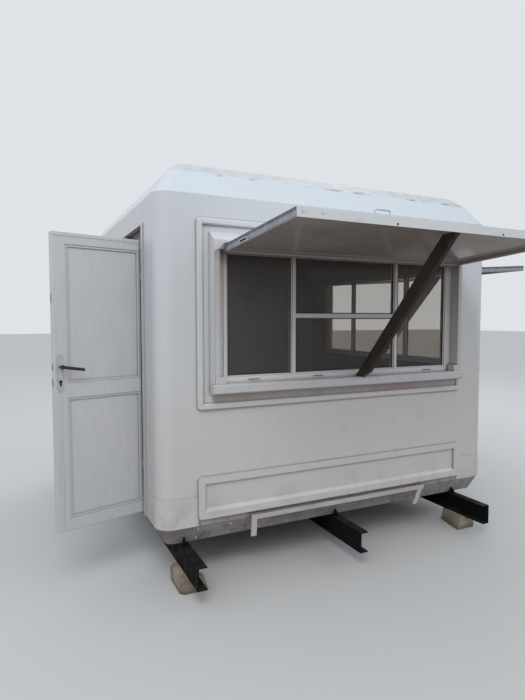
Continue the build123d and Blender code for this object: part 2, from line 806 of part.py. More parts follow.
with BuildPart() as door_hinge_straps:
    for up in hinge_ups:
        low = leaf_z + up + knuckle_h + knuckle_gap
        with BuildSketch(Plane(origin=pivot + Vector(0, 0, low))):
            Circle(knuckle_r)
        extrude(amount=knuckle_h)
        with BuildSketch(leaf_plane(pivot_out)):
            with Locations((-edge_gap + hinge_plate_t / 2, low + knuckle_h / 2)):
                Rectangle(hinge_plate_t, knuckle_h)
        extrude(amount=-(pivot_out + hinge_plate_w))
        with BuildSketch(Plane(origin=pivot + Vector(0, 0, low))):
            Circle(pin_r + pin_clear)
        extrude(amount=knuckle_h, mode=Mode.SUBTRACT)
save(door_hinge_straps, "door_hinge_straps")

# Steel rail along the front of the base, with a leg bent down at each end
rail_z = shell_low + rail_up
rail_mid = (rail_right - rail_left) / 2
with BuildPart() as front_base_rail:
    with BuildSketch(side_plane(FRONT, -kerb_back)):
        with Locations((rail_mid, rail_z - rail_t / 2)):
            Rectangle(rail_left + rail_right, rail_t)
    extrude(amount=rail_w + kerb_back)
    with BuildSketch(side_plane(FRONT, rail_w)):
        with Locations((rail_mid, rail_z - rail_face_h / 2)):
            Rectangle(rail_left + rail_right, rail_face_h)
        for u, lean in ((-rail_left, rail_leg_left_lean), (rail_right - rail_leg_w, rail_leg_right_lean)):
            with BuildLine():
                Polyline((u, rail_z), (u + rail_leg_w, rail_z), (u + rail_leg_w - lean, band_low),
                         (u - lean, band_low), close=True)
            make_face()
    extrude(amount=-rail_t)
save(front_base_rail, "front_base_rail")
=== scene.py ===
# %% [markdown]
# # Dressing a moulded street kiosk
# The structure comes ready made: walls, roof, door, windows, flaps and skids stand in their places.
# This lesson gives each of them the finish of the real one, and adds the small things that a
# hand finds on it: rivets, screws, drain slots, rubber round the glass, rough stones.
# Everything is in metres, with Z up and the ground at zero.

# %% Load the structure
import bmesh
import bpy
import contextlib
import json
import math
import random
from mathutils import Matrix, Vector


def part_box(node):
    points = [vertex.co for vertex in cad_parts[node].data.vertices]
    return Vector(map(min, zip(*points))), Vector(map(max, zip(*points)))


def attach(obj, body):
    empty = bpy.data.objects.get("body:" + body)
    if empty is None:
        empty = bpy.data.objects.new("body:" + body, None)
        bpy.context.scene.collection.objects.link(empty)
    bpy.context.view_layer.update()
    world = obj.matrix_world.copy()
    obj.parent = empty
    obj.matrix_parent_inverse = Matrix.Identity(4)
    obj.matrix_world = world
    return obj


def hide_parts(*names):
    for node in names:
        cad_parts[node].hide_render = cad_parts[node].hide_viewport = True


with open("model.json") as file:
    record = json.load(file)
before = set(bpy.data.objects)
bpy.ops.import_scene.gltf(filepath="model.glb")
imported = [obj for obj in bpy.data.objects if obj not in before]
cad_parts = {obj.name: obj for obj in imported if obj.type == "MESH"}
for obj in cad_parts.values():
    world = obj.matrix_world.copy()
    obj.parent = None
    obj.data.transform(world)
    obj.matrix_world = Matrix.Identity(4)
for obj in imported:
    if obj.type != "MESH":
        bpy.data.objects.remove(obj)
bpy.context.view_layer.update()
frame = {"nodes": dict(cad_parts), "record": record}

# %% [markdown]
# ## Where things are
# A few places are read from the structure, so that nothing here is measured twice. The roof gives
# the outer faces of the shell, and a corner post gives the height of its foot and top.

# %% Read the main places
roof_low, roof_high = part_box("roof_shell")
corner_low, corner_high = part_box("corner_front_left")
shell_low = Vector((roof_low.x, roof_low.y, corner_low.z))
shell_high = Vector((roof_high.x, roof_high.y, corner_high.z))
shell_mid = (shell_low + shell_high) / 2
print("shell from", [round(v, 3) for v in shell_low], "to", [round(v, 3) for v in shell_high])

# %% [markdown]
# ## The camera
# A camera model was fitted to corners of the kiosk in the photograph. It stands at eye height to
# the left of the front, turned towards the right and slightly down, with a wide phone lens.

# %% Camera at the photographer's place
FRAME_HIGH_PX = 700
FOCAL_PX = 518.43
SENSOR_MM = 36
EYE_FROM_CORNER = (-0.7766, -3.0747, 1.3097)
LOOKS_DOWN, LOOKS_RIGHT = 3.41, 25.72
camera_data = bpy.data.cameras.new("photo_camera")
camera_data.sensor_width = SENSOR_MM
camera_data.lens = SENSOR_MM * FOCAL_PX / FRAME_HIGH_PX
camera_data.clip_end = 200
camera = bpy.data.objects.new("photo_camera", camera_data)
camera.location = shell_low + Vector(EYE_FROM_CORNER)
camera.rotation_euler = (math.radians(90 - LOOKS_DOWN), 0, math.radians(-LOOKS_RIGHT))
bpy.context.scene.collection.objects.link(camera)
bpy.context.scene.camera = camera
print("lens", round(camera_data.lens, 2), "mm")

# %% [markdown]
# ## Helpers for finishes
# A finish is a small node tree. The helpers below keep each one short enough to read: one adds a
# node, one makes noise, one a soft step, one finds tight corners, and one mixes two colours.


# %% Node helpers
class Finish:
    """A material under construction, with its shader already in place."""

    def __init__(self, name, roughness=0.5, metallic=0.0):
        self.material = bpy.data.materials.new(name)
        self.material.use_nodes = True
        self.tree = self.material.node_tree
        self.shader = self.tree.nodes["Principled BSDF"]
        self.shader.inputs["Roughness"].default_value = roughness
        self.shader.inputs["Metallic"].default_value = metallic
        self.place = self.add("ShaderNodeTexCoord").outputs["Object"]
        self.colour = None

    def add(self, kind, **settings):
        """A new node of one kind, with its settings."""
        node = self.tree.nodes.new(kind)
        for name, value in settings.items():
            setattr(node, name, value)
        return node

    def put(self, value, socket):
        """Link a socket, or set a plain value."""
        if isinstance(value, bpy.types.NodeSocket):
            self.tree.links.new(value, socket)
        elif hasattr(value, "__len__") and len(value) == 3 and len(socket.default_value) == 4:
            socket.default_value = (*value, 1)
        else:
            socket.default_value = value

    def stretched(self, scale, turn):
        """The place on the piece, squeezed or stretched, so that noise runs in streaks."""
        mapping = self.add("ShaderNodeMapping")
        self.put(self.place, mapping.inputs["Vector"])
        mapping.inputs["Rotation"].default_value = turn
        mapping.inputs["Scale"].default_value = scale
        return mapping.outputs["Vector"]

    def noise(self, scale, detail=4.0, rough=0.55, stretch=(1, 1, 1), warp=0.0, turn=(0, 0, 0)):
        """Soft cloudy noise; a low stretch along one axis draws it out into streaks."""
        node = self.add("ShaderNodeTexNoise")
        self.put(self.stretched(stretch, turn), node.inputs["Vector"])
        node.inputs["Scale"].default_value = scale
        node.inputs["Detail"].default_value = detail
        node.inputs["Roughness"].default_value = rough
        node.inputs["Distortion"].default_value = warp
        return node.outputs["Fac"]

    def spots(self, scale):
        """How far the place is from the nearest of many scattered points."""
        node = self.add("ShaderNodeTexVoronoi")
        self.put(self.place, node.inputs["Vector"])
        node.inputs["Scale"].default_value = scale
        return node.outputs["Distance"]

    def step(self, value, start, end, low=0.0, high=1.0):
        """A soft step: low before start, high after end."""
        node = self.add("ShaderNodeMapRange", interpolation_type="SMOOTHSTEP")
        self.put(value, node.inputs["Value"])
        node.inputs["From Min"].default_value = start
        node.inputs["From Max"].default_value = end
        node.inputs["To Min"].default_value = low
        node.inputs["To Max"].default_value = high
        return node.outputs["Result"]

    def cloud(self, scale, detail, start, end, share=1.0, **look):
        """Soft patches: noise cut by a soft step, up to one share."""
        return self.step(self.noise(scale, detail, **look), start, end, 0.0, share)

    def math(self, kind, first, second=0.0):
        """One sum of two values."""
        node = self.add("ShaderNodeMath", operation=kind)
        self.put(first, node.inputs[0])
        self.put(second, node.inputs[1])
        return node.outputs[0]

    def both(self, first, second):
        """The product of two masks: one only where both are one."""
        return self.math("MULTIPLY", first, second)

    def mix(self, factor, first, second):
        """The first colour where the factor is nought, the second where it is one."""
        node = self.add("ShaderNodeMix", data_type="RGBA")
        self.put(factor, node.inputs[0])
        self.put(first, node.inputs[6])
        self.put(second, node.inputs[7])
        return node.outputs[2]

    def lay(self, mask, tint):
        """Lay a tint over the colour so far, where the mask is one."""
        self.colour = self.mix(mask, self.colour, tint)

    def axis(self, letter):
        """How far along X, Y or Z the place on the piece is."""
        node = self.add("ShaderNodeSeparateXYZ")
        self.put(self.place, node.inputs[0])
        return node.outputs[letter]

    def facing(self, letter):
        """How far a face looks along X, Y or Z."""
        node = self.add("ShaderNodeSeparateXYZ")
        self.put(self.add("ShaderNodeNewGeometry").outputs["True Normal"], node.inputs[0])
        return node.outputs[letter]

    def corners(self, reach, start, end):
        """One in tight corners, where shade is painted, and nought on open faces."""
        node = self.add("ShaderNodeAmbientOcclusion", samples=6)
        node.inputs["Distance"].default_value = reach
        return self.step(node.outputs["AO"], end, start)

    def bump(self, height, strength, distance, before=None):
        """Small relief from a height, over the relief that was there before."""
        node = self.add("ShaderNodeBump")
        self.put(height, node.inputs["Height"])
        node.inputs["Strength"].default_value = strength
        node.inputs["Distance"].default_value = distance
        if before is not None:
            self.put(before, node.inputs["Normal"])
        return node.outputs["Normal"]

    def done(self, roughness=None, normal=None):
        """Link the colour, roughness and relief, and hand the material over."""
        self.put(self.colour, self.shader.inputs["Base Color"])
        if roughness is not None:
            self.put(roughness, self.shader.inputs["Roughness"])
        if normal is not None:
            self.put(normal, self.shader.inputs["Normal"])
        print("finish", self.material.name, "with", len(self.tree.nodes), "nodes")
        return self.material


# %% [markdown]
# ## The shell: white paint on glass fibre
# The mould left the sheet smooth, and the paint went on by roller, so the gloss is broken by a fine
# orange skin and by faint upright bands. The paint is tinted cooler towards the top as painted sky
# light and warmer lower down as painted ground light, splash greys the foot, and painted shade
# darkens tight corners and the wall under the sills. The roof takes a cool painted sky light, and
# above its upper crease it has caught soot and speckles. The room side was never painted: it is
# dark board, and the finish finds it by its place, inside the outer skin, and under the roof by its
# faces that look down. All heights are given from the foot of the shell.

# %% Shell paint
SKIN = 0.035
ROOF_TOP_HIGH = 0.088
SKY_LIGHT_FROM, SKY_LIGHT_FULL = 1.2, 2.0
GROUND_LIGHT_FROM, GROUND_LIGHT_FULL = 1.0, 0.6
SPLASH_HIGH = 0.28
SILL_HALF, SILL_FADE = 1.04, 0.03
SILL_SHADE_LOW, SILL_SHADE_HIGH = (0.772, 0.782), (0.840, 0.846)


def inside_room(finish):
    """One inside the shell, nought on its outer skin."""
    inside = 1.0
    for letter, start, end in (("X", shell_low.x, shell_high.x), ("Y", shell_low.y, shell_high.y)):
        along = finish.axis(letter)
        after = finish.math("GREATER_THAN", along, start + SKIN)
        before = finish.math("LESS_THAN", along, end - SKIN)
        inside = finish.both(inside, finish.both(after, before))
    return inside


def paint_shell(name, roof=False):
    """White paint with its wear outside, dark board inside."""
    finish = Finish(name)
    patches = finish.cloud(0.8, 2, 0.35, 0.65)
    finish.colour = finish.mix(patches, (0.555, 0.585, 0.615), (0.60, 0.59, 0.585))
    bands = finish.cloud(22, 3, 0.4, 0.7, 0.3, stretch=(1, 1, 0.05))
    finish.lay(bands, (0.52, 0.54, 0.57))
    runs = finish.cloud(9, 5, 0.62, 0.8, 0.3, stretch=(1, 1, 0.09), warp=0.4)
    finish.lay(runs, (0.43, 0.42, 0.395))
    height = finish.axis("Z")
    # Painted light: cooler towards the top as sky light, warmer lower down as light thrown up from
    # the ground.
    painted_sky_light = finish.step(height, shell_low.z + SKY_LIGHT_FROM, shell_low.z + SKY_LIGHT_FULL, 0.0, 0.6)
    finish.lay(painted_sky_light, (0.545, 0.59, 0.635))
    painted_ground_light = finish.step(height, shell_low.z + GROUND_LIGHT_FROM, shell_low.z + GROUND_LIGHT_FULL, 0.0, 0.55)
    finish.lay(painted_ground_light, (0.565, 0.52, 0.505))
    splash = finish.step(height, shell_low.z + SPLASH_HIGH, shell_low.z, 0.0, 0.5)
    splash = finish.both(splash, finish.cloud(6, 6, 0.42, 0.7))
    finish.lay(splash, (0.33, 0.30, 0.27))
    flecks = finish.step(finish.spots(28), 0.07, 0.02, 0.0, 0.55)
    flecks = finish.both(flecks, finish.cloud(1.6, 3, 0.5, 0.62))
    finish.lay(flecks, (0.36, 0.34, 0.32))
    if roof:
        # Painted sky light: a cool tint over the roof.
        painted_roof_sky = finish.step(finish.noise(0.6, 2), 0.3, 0.7, 0.5, 0.8)
        finish.lay(painted_roof_sky, (0.54, 0.60, 0.66))
        weather_roof(finish, height)
        room = finish.math("LESS_THAN", finish.facing("Z"), -0.1)
    else:
        # Painted shade: a brown band on the wall under the sills.
        finish.lay(painted_sill_shade(finish, height), (0.335, 0.265, 0.235))
        # Painted shade: darker in tight corners, standing also for dirt there.
        dirt_and_shade = finish.both(finish.corners(0.024, 0.45, 0.88), 0.75)
        finish.lay(dirt_and_shade, (0.20, 0.175, 0.165))
        room = inside_room(finish)
    grain = finish.noise(3, 6, stretch=(6, 6, 1))
    board = finish.mix(grain, (0.10, 0.083, 0.072), (0.19, 0.16, 0.14))
    finish.lay(room, board)
    skin = finish.noise(260, 2, 0.5)
    waves = finish.noise(7, 2, 0.4)
    normal = finish.bump(waves, 0.25, 0.006, finish.bump(skin, 0.22, 0.0012))
    gloss = finish.step(finish.noise(5, 4), 0.3, 0.7, 0.27, 0.42)
    return finish.done(gloss, normal)


def painted_sill_shade(finish, height):
    """Brown painted shade under the sills, on the two sides with a window."""
    front = ("X", shell_mid.x, "Y", "LESS_THAN", shell_low.y + SKIN)
    right = ("Y", shell_mid.y, "X", "GREATER_THAN", shell_high.x - SKIN)
    sides = []
    for along, middle, across, test, skin in (front, right):
        away = finish.math("ABSOLUTE", finish.math("SUBTRACT", finish.axis(along), middle))
        near = finish.step(away, SILL_HALF, SILL_HALF - SILL_FADE)
        on_skin = finish.math(test, finish.axis(across), skin)
        sides.append(finish.both(near, on_skin))
    low = finish.step(height, shell_low.z + SILL_SHADE_LOW[0], shell_low.z + SILL_SHADE_LOW[1])
    high = finish.step(height, shell_low.z + SILL_SHADE_HIGH[1], shell_low.z + SILL_SHADE_HIGH[0])
    share = finish.step(finish.noise(2.4, 4, stretch=(1, 1, 0.3)), 0.3, 0.7, 0.45, 0.85)
    mask = finish.both(finish.both(low, high), share)
    return finish.both(mask, finish.math("MAXIMUM", *sides))


def weather_roof(finish, height):
    """Soot and speckles above the upper crease, and scuffs along it."""
    crease = roof_high.z - ROOF_TOP_HIGH
    above = finish.step(height, crease - 0.002, crease + 0.012)
    soot = finish.step(finish.noise(14, 7, 0.7), 0.36, 0.66, 0.25, 0.7)
    finish.lay(finish.both(above, soot), (0.40, 0.385, 0.375))
    specks = finish.step(finish.spots(55), 0.22, 0.08)
    specks = finish.both(specks, finish.cloud(12, 3, 0.48, 0.6))
    finish.lay(finish.both(above, specks), (0.20, 0.185, 0.175))
    line_low = finish.step(height, crease - 0.012, crease - 0.004)
    line_high = finish.step(height, crease + 0.010, crease + 0.002)
    scuffed = finish.cloud(6, 4, 0.52, 0.70, 0.7, rough=0.6)
    line = finish.both(finish.both(line_low, line_high), scuffed)
    finish.lay(line, (0.12, 0.105, 0.10))


shell_paint = paint_shell("shell_paint")
roof_paint = paint_shell("roof_paint", roof=True)

# %% [markdown]
# ## Window paint, flap sheet and door sheet
# The window boxes are steel with brushed warm white paint, and their sashes take the same paint
# made a little lighter as painted light. The flaps are thin sheet with pale streaks where water
# dried, and the door is a smooth cool white sheet. Painted shade in tight corners draws the thin
# lines along bars and mouldings, and darkens the tops of the windows and the head of the door
# frame.


# %% White paints
def paint_sheet(name, cool, warm, dirt_and_shade, brush, dirt_share=0.3, painted_shade=None,
                corner_share=0.6):
    """Brushed or sprayed white paint with broad patches, brush marks, some dirt and painted shade.
    """
    finish = Finish(name)
    finish.colour = finish.mix(finish.cloud(1.7, 3, 0.35, 0.65), cool, warm)
    marks = finish.cloud(60, 3, 0.45, 0.72, 0.3, stretch=brush)
    finish.lay(marks, [c * 0.8 for c in warm])
    grime = finish.cloud(11, 7, 0.56, 0.78, dirt_share, rough=0.65)
    finish.lay(grime, dirt_and_shade)
    # Painted shade, where a piece has it.
    if painted_shade:
        painted_shade(finish)
    # Painted shade: darker in tight corners, standing also for dirt there.
    corner_shade = finish.both(finish.corners(0.022, 0.5, 0.92), corner_share)
    finish.lay(corner_shade, [c * 0.6 for c in dirt_and_shade])
    chips = finish.step(finish.spots(34), 0.055, 0.02)
    chips = finish.both(chips, finish.cloud(3, 2, 0.55, 0.62))
    finish.lay(chips, (0.20, 0.13, 0.09))
    normal = finish.bump(finish.noise(90, 2, stretch=brush), 0.3, 0.0012,
                         finish.bump(finish.noise(300, 2), 0.2, 0.0008))
    return finish.done(finish.step(finish.noise(8, 3), 0.3, 0.7, 0.3, 0.5), normal)


WINDOW_TOP, WINDOW_LOW = shell_low.z + 1.740, shell_low.z + 0.900
HEAD_BACK, HEAD_UP = shell_low.x + 0.020, shell_low.z + 1.815


def flap_shade(finish):
    """Warm painted shade, darker towards the top of a window, under the flap."""
    # Painted shade: the window paint grows darker and warmer towards the top.
    top = finish.step(finish.axis("Z"), WINDOW_TOP - 0.10, WINDOW_TOP, 0.0, 0.55)
    shade_towards_top = finish.step(finish.axis("Z"), WINDOW_LOW, WINDOW_TOP, 0.0, 0.35)
    finish.lay(shade_towards_top, (0.36, 0.30, 0.285))
    finish.lay(top, (0.20, 0.165, 0.155))


def head_shade(finish):
    """Painted shade on the head of the door frame, which is set back."""
    # Painted shade: the set-back head is dark purple-grey.
    back = finish.step(finish.axis("X"), HEAD_BACK, HEAD_BACK + 0.010)
    up = finish.step(finish.axis("Z"), HEAD_UP, HEAD_UP + 0.005)
    finish.lay(finish.both(back, up), (0.085, 0.07, 0.095))


UPRIGHT, ACROSS = (1, 1, 0.1), (1, 0.06, 1)
window_paint = paint_sheet(
    "window_paint", cool=(0.53, 0.54, 0.575), warm=(0.55, 0.53, 0.525), dirt_and_shade=(0.30, 0.25, 0.225),
    brush=UPRIGHT, painted_shade=flap_shade)
# Painted light: the sash paint is the window paint made lighter, with less grime.
lit_sash_paint = paint_sheet(
    "lit_sash_paint", cool=(0.66, 0.665, 0.70), warm=(0.69, 0.665, 0.655), dirt_and_shade=(0.34, 0.29, 0.26),
    brush=UPRIGHT, dirt_share=0.2, painted_shade=flap_shade)
frame_paint = paint_sheet(
    "door_frame_paint", cool=(0.53, 0.545, 0.575), warm=(0.55, 0.54, 0.545),
    dirt_and_shade=(0.30, 0.27, 0.25), brush=UPRIGHT, painted_shade=head_shade)
flap_paint = paint_sheet(
    "flap_paint", cool=(0.56, 0.59, 0.61), warm=(0.60, 0.61, 0.615), dirt_and_shade=(0.36, 0.33, 0.31),
    brush=ACROSS, dirt_share=0.25)
door_paint = paint_sheet(
    "door_paint", cool=(0.52, 0.54, 0.57), warm=(0.555, 0.56, 0.565), dirt_and_shade=(0.24, 0.23, 0.24),
    brush=(1, 1, 0.08), dirt_share=0.15, corner_share=0.8)

# %% [markdown]
# ## The rest of the finishes
# The base band is old grey paint over steel, and the rail on it is paler, with soil on its flat
# top. The skids are black paint, dusty on top, with spots of rust. The props are dark stained
# boards with the grain along them. The stones are yellow limestone. The lock plates are thin
# bright metal, pitted. The glass is clear, with a little dust and haze.


# %% Base, skids, boards, stones, steel, glass
def paint_base():
    """Old grey paint with mud and rust."""
    finish = Finish("base_band_paint")
    patches = finish.cloud(4, 6, 0.3, 0.7, rough=0.6)
    finish.colour = finish.mix(patches, (0.25, 0.235, 0.23), (0.36, 0.345, 0.335))
    mud = finish.cloud(13, 7, 0.48, 0.72, 0.7, rough=0.7)
    finish.lay(mud, (0.15, 0.125, 0.105))
    rust = finish.cloud(22, 6, 0.6, 0.72, 0.8, rough=0.6, stretch=(1, 1, 0.3))
    finish.lay(rust, (0.13, 0.065, 0.035))
    normal = finish.bump(finish.noise(45, 5), 0.4, 0.002)
    return finish.done(finish.step(finish.noise(9, 3), 0.3, 0.7, 0.5, 0.8), normal)


def paint_rail():
    """Pale paint on the rail, with soil and rust left on its flat top."""
    finish = Finish("rail_paint", 0.55)
    patches = finish.cloud(6, 5, 0.3, 0.7)
    finish.colour = finish.mix(patches, (0.40, 0.38, 0.385), (0.50, 0.48, 0.485))
    soil = finish.step(finish.noise(14, 7, 0.7), 0.25, 0.6, 0.55, 0.95)
    soil = finish.both(soil, finish.step(finish.facing("Z"), 0.5, 0.9))
    finish.lay(soil, (0.155, 0.13, 0.125))
    rust = finish.cloud(30, 6, 0.63, 0.74, 0.7, rough=0.6)
    finish.lay(rust, (0.12, 0.065, 0.04))
    return finish.done(normal=finish.bump(finish.noise(50, 5), 0.35, 0.0015))


def paint_skid():
    """Dull black paint, with dust on the faces that look up."""
    finish = Finish("skid_paint")
    finish.shader.inputs["Specular IOR Level"].default_value = 0.12
    finish.colour = finish.mix(finish.noise(5, 5), (0.004, 0.0045, 0.006), (0.011, 0.012, 0.016))
    dust = finish.both(finish.step(finish.facing("Z"), 0.4, 0.9), 0.7)
    dust = finish.both(dust, finish.cloud(9, 6, 0.4, 0.7))
    finish.lay(dust, (0.045, 0.036, 0.028))
    rust = finish.cloud(16, 7, 0.62, 0.72, 0.7, rough=0.7)
    finish.lay(rust, (0.055, 0.026, 0.014))
    normal = finish.bump(finish.noise(60, 5), 0.4, 0.002)
    return finish.done(finish.step(finish.noise(12, 4), 0.3, 0.7, 0.5, 0.8), normal)


def paint_prop(name, turn):
    """Dark stain on a board; the grain runs up the board."""
    finish = Finish(name)
    grain = finish.noise(30, 6, 0.6, stretch=(1, 1, 0.06), warp=0.5, turn=turn)
    stain = finish.step(grain, 0.3, 0.7)
    finish.colour = finish.mix(stain, (0.020, 0.0125, 0.0105), (0.060, 0.037, 0.030))
    rubbed = finish.noise(8, 6, 0.7, stretch=(1, 1, 0.4), turn=turn)
    worn = finish.step(rubbed, 0.58, 0.72, 0.0, 0.5)
    finish.lay(worn, (0.095, 0.064, 0.048))
    normal = finish.bump(grain, 0.6, 0.003)
    return finish.done(finish.step(grain, 0.3, 0.7, 0.4, 0.65), normal)


def cut_stone():
    """Yellow limestone with pits, and soil at its foot."""
    finish = Finish("limestone", 0.9)
    patches = finish.cloud(9, 6, 0.3, 0.7)
    finish.colour = finish.mix(patches, (0.215, 0.178, 0.132), (0.36, 0.31, 0.24))
    pits = finish.step(finish.spots(60), 0.25, 0.05)
    finish.lay(finish.both(pits, 0.6), (0.13, 0.10, 0.07))
    soil = finish.step(finish.axis("Z"), 0.05, 0.0, 0.0, 0.8)
    finish.lay(soil, (0.10, 0.08, 0.058))
    normal = finish.bump(finish.noise(70, 8, 0.7), 0.8, 0.006)
    return finish.done(normal=normal)


def plain_steel(name, first, second, metallic, roughness):
    """Two tones in fine patches, with an uneven gloss."""
    finish = Finish(name, roughness, metallic)
    finish.colour = finish.mix(finish.cloud(30, 5, 0.35, 0.7), first, second)
    normal = finish.bump(finish.noise(120, 4), 0.25, 0.001)
    gloss = finish.step(finish.noise(40, 3), 0.3, 0.7, roughness - 0.08, roughness + 0.15)
    return finish.done(gloss, normal)


def paint_plate():
    """Thin bright metal on the lock plates, pitted where hands touch it."""
    finish = Finish("worn_plate", 0.35, 0.25)
    patches = finish.cloud(45, 4, 0.35, 0.7)
    finish.colour = finish.mix(patches, (0.50, 0.51, 0.52), (0.60, 0.60, 0.60))
    pits = finish.cloud(150, 6, 0.56, 0.66, 0.8, rough=0.7)
    finish.lay(pits, (0.13, 0.115, 0.105))
    # Painted shade: darker round the rim of each plate.
    rim = finish.corners(0.006, 0.45, 0.85)
    finish.lay(rim, (0.05, 0.045, 0.045))
    return finish.done(normal=finish.bump(finish.noise(160, 4), 0.3, 0.0006))


def clear_glass():
    """Clear glass; the share that isn't transmitted is its haze."""
    finish = Finish("window_glass", 0.02)
    finish.shader.inputs["Transmission Weight"].default_value = 0.94
    finish.shader.inputs["IOR"].default_value = 1.14
    dust = finish.cloud(7, 6, 0.5, 0.8, 0.12, rough=0.6, stretch=(1, 1, 0.4))
    finish.colour = finish.mix(dust, (0.76, 0.74, 0.71), (0.60, 0.56, 0.51))
    return finish.done(finish.step(finish.noise(5, 6, 0.7), 0.5, 0.8, 0.01, 0.09))


base_paint = paint_base()
rail_paint = paint_rail()
skid_paint = paint_skid()
PROP_LEAN = math.radians(45)
front_board = paint_prop("front_prop_board", (PROP_LEAN, 0, 0))
right_board = paint_prop("right_prop_board", (0, -PROP_LEAN, 0))
limestone = cut_stone()
handle_black = plain_steel("handle_black", (0.010, 0.010, 0.011), (0.028, 0.028, 0.030),
                           0.0, 0.35)
worn_plate = paint_plate()
hinge_steel = plain_steel("hinge_steel", (0.42, 0.41, 0.41), (0.55, 0.54, 0.53), 0.3, 0.45)
deck_board = plain_steel("deck_board", (0.10, 0.07, 0.05), (0.17, 0.12, 0.085), 0.0, 0.7)
glass = clear_glass()

# %% [markdown]
# ## Which piece gets which finish
# The structure's pieces keep their shape and take a finish by name.

# %% Put the finishes on the structure
by_finish = {
    roof_paint: ["roof_shell"],
    shell_paint: ["front_wall", "right_wall", "rear_wall", "left_wall_front", "left_wall_head",
                  "left_wall_rear", "corner_front_left", "corner_front_right", "corner_rear_left",
                  "corner_rear_right"],
    window_paint: ["front_surround", "right_surround"],
    lit_sash_paint: ["front_sash", "right_sash"],
    frame_paint: ["door_frame"],
    flap_paint: ["front_flap", "right_flap"],
    door_paint: ["door_leaf", "door_panels"],
    worn_plate: ["door_lock_plates"],
    base_paint: ["base_sill_front", "base_sill_rear", "base_sill_left", "base_sill_right"],
    rail_paint: ["front_base_rail"],
    skid_paint: ["skid_left", "skid_middle", "skid_right", "floor_bearers"],
    limestone: ["block_front_left", "block_front_right", "block_rear_left", "block_rear_right"],
    front_board: ["front_prop"],
    right_board: ["right_prop"],
    handle_black: ["door_lever"],
    hinge_steel: ["front_flap_hinges", "right_flap_hinges", "front_flap_pull", "right_flap_pull",
                  "door_hinge_pins", "door_hinge_straps"],
    deck_board: ["floor_deck"],
    glass: ["front_glass", "right_glass"],
}
for finish, names in by_finish.items():
    for name in names:
        slots = frame["nodes"][name].data.materials
        slots.clear()
        slots.append(finish)
dressed = {name for names in by_finish.values() for name in names}
print("dressed", len(dressed), "nodes; without a finish:", sorted(set(frame["nodes"]) - dressed))

# %% [markdown]
# ## Tools for the small pieces
# Each new piece starts from a primitive of the right size at its place, and is then worked in edit
# mode. Faces are picked by where they are and which way they look. One habit matters: every
# selection is dropped first, or the tool works on the whole kiosk.


# %% Modelling helpers
def only(piece):
    """Drop every selection, then take this piece alone."""
    bpy.ops.object.select_all(action="DESELECT")
    bpy.context.view_layer.objects.active = piece
    piece.select_set(True)


def start(add, name, **shape):
    """Add a primitive at its size and place, and keep its place in its mesh."""
    bpy.ops.object.select_all(action="DESELECT")
    add(**shape)
    piece = bpy.context.object
    piece.name = piece.data.name = name
    bpy.ops.object.transform_apply()
    return piece


def block(name, first, second):
    """A cube between two corners."""
    low = Vector(map(min, first, second))
    high = Vector(map(max, first, second))
    return start(bpy.ops.mesh.primitive_cube_add, name, size=1, location=(low + high) / 2,
                 scale=high - low)


def stud(name, middle, radius, thick, way, sides=16):
    """A short cylinder that looks one way."""
    turn = Vector(way).to_track_quat("Z", "Y").to_euler()
    return start(bpy.ops.mesh.primitive_cylinder_add, name, vertices=sides, radius=radius,
                 depth=thick, location=middle, rotation=turn)


@contextlib.contextmanager
def faces(piece, wanted):
    """Edit mode with the faces selected whose middle and direction are wanted."""
    only(piece)
    bpy.ops.object.mode_set(mode="EDIT")
    bpy.ops.mesh.select_mode(type="FACE")
    bpy.ops.mesh.select_all(action="DESELECT")
    mesh = bmesh.from_edit_mesh(piece.data)
    for face in mesh.faces:
        face.select_set(bool(wanted(face.calc_center_median(), face.normal)))
    bmesh.update_edit_mesh(piece.data)
    yield
    bpy.ops.object.mode_set(mode="OBJECT")


def everywhere(middle, normal):
    """A test that takes every face."""
    return True


def looks(way, share=0.9):
    """A test for faces that look one way."""
    way = Vector(way).normalized()
    return lambda middle, normal: normal.dot(way) > share


def soften(piece, width, segments=2):
    """Round the sharp edges with a Bevel modifier, and apply it."""
    only(piece)
    rounding = piece.modifiers.new("rounding", "BEVEL")
    rounding.width = width
    rounding.segments = segments
    bpy.ops.object.modifier_apply(modifier=rounding.name)
    bpy.ops.object.shade_smooth_by_angle(angle=math.radians(35))


def turned(piece, angle, axis, centre):
    """Turn a piece counter-clockwise about a line; with no window the tool turns the other way."""
    only(piece)
    bpy.ops.transform.rotate(value=-angle, orient_axis=axis, center_override=centre)
    bpy.ops.object.transform_apply()
    return piece


def copied(piece, name):
    """A copy of a piece with its own mesh."""
    only(piece)
    bpy.ops.object.duplicate()
    copy = bpy.context.object
    copy.name = copy.data.name = name
    return copy


def joined(name, pieces):
    """Several pieces made one object."""
    only(pieces[0])
    for piece in pieces[1:]:
        piece.select_set(True)
    if len(pieces) > 1:
        bpy.ops.object.join()
    piece = bpy.context.object
    piece.name = piece.data.name = name
    return piece


def fit(piece, body):
    """Hang a finished piece on its body."""
    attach(piece, body)
    print("fitted", piece.name, "to the", body, "with", len(piece.data.polygons), "faces")


def fit_both(piece, name):
    """Fit a piece on the front, and its copy on the right side, a quarter turn on."""
    piece.name = piece.data.name = "front_" + name
    other = turned(copied(piece, "right_" + name), math.radians(90), "Z", shell_mid)
    fit(piece, "kiosk")
    fit(other, "kiosk")


# %% [markdown]
# ## Under the flap
# The flap is a shallow tray. A smooth painted board lies up inside it, so glossy that the window
# bars show in it. It is drawn level, with a folded strip along the hinge side, and then tipped up
# to the slope of the flap about the hinge line. Drawn tilted, every size would be harder to read.

